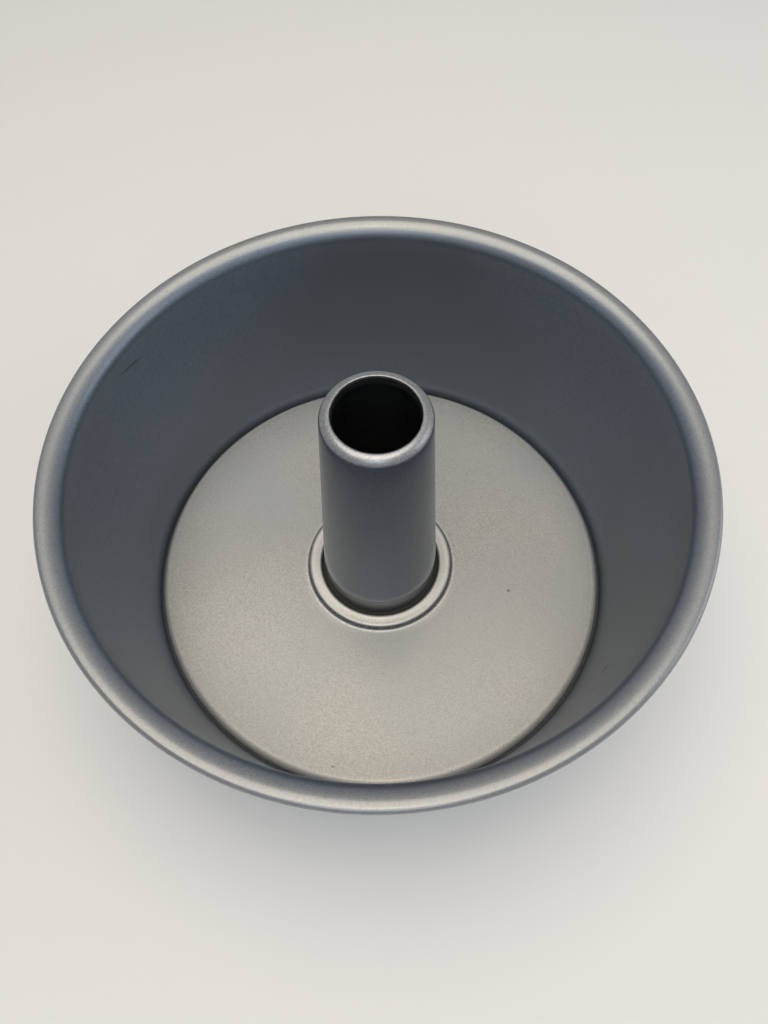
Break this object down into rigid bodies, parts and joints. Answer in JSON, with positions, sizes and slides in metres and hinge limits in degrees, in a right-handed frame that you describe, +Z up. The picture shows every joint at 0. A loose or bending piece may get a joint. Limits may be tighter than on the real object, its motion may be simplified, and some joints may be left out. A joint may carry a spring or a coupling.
{
  "type": "angel food cake pan",
  "caption": "Round tube pan for tall sponge cakes: a tapered ring with a rolled rim, and a flat base with a tall open centre tube that lifts out of it.",
  "frame": {"origin": "on the pan's axis, in the plane of the table that the ring's ledge stands on", "axes": "+Z up along the pan's axis; +X to the right and +Y away from the viewer of the picture"},
  "size_m": [0.26, 0.26, 0.132],
  "materials": {
    "ring_coating": "satin non-stick coating, gray with a fine metallic fleck",
    "base_coating": "satin non-stick coating, gray with a fine metallic fleck",
    "tube_coating": "satin non-stick coating, gray with a fine metallic fleck, darker and bare of coating inside"
  },
  "bodies": {
    "pan_ring": {"pan_ring": "ring_coating"},
    "loose_base": {"base_plate": "base_coating", "center_tube": "tube_coating"}
  },
  "joints": [
    {"name": "base_lift", "type": "slide", "parent": "pan_ring", "child": "loose_base", "axis": [0, 0, 1], "range_m": [0, 0.12]}
  ]
}
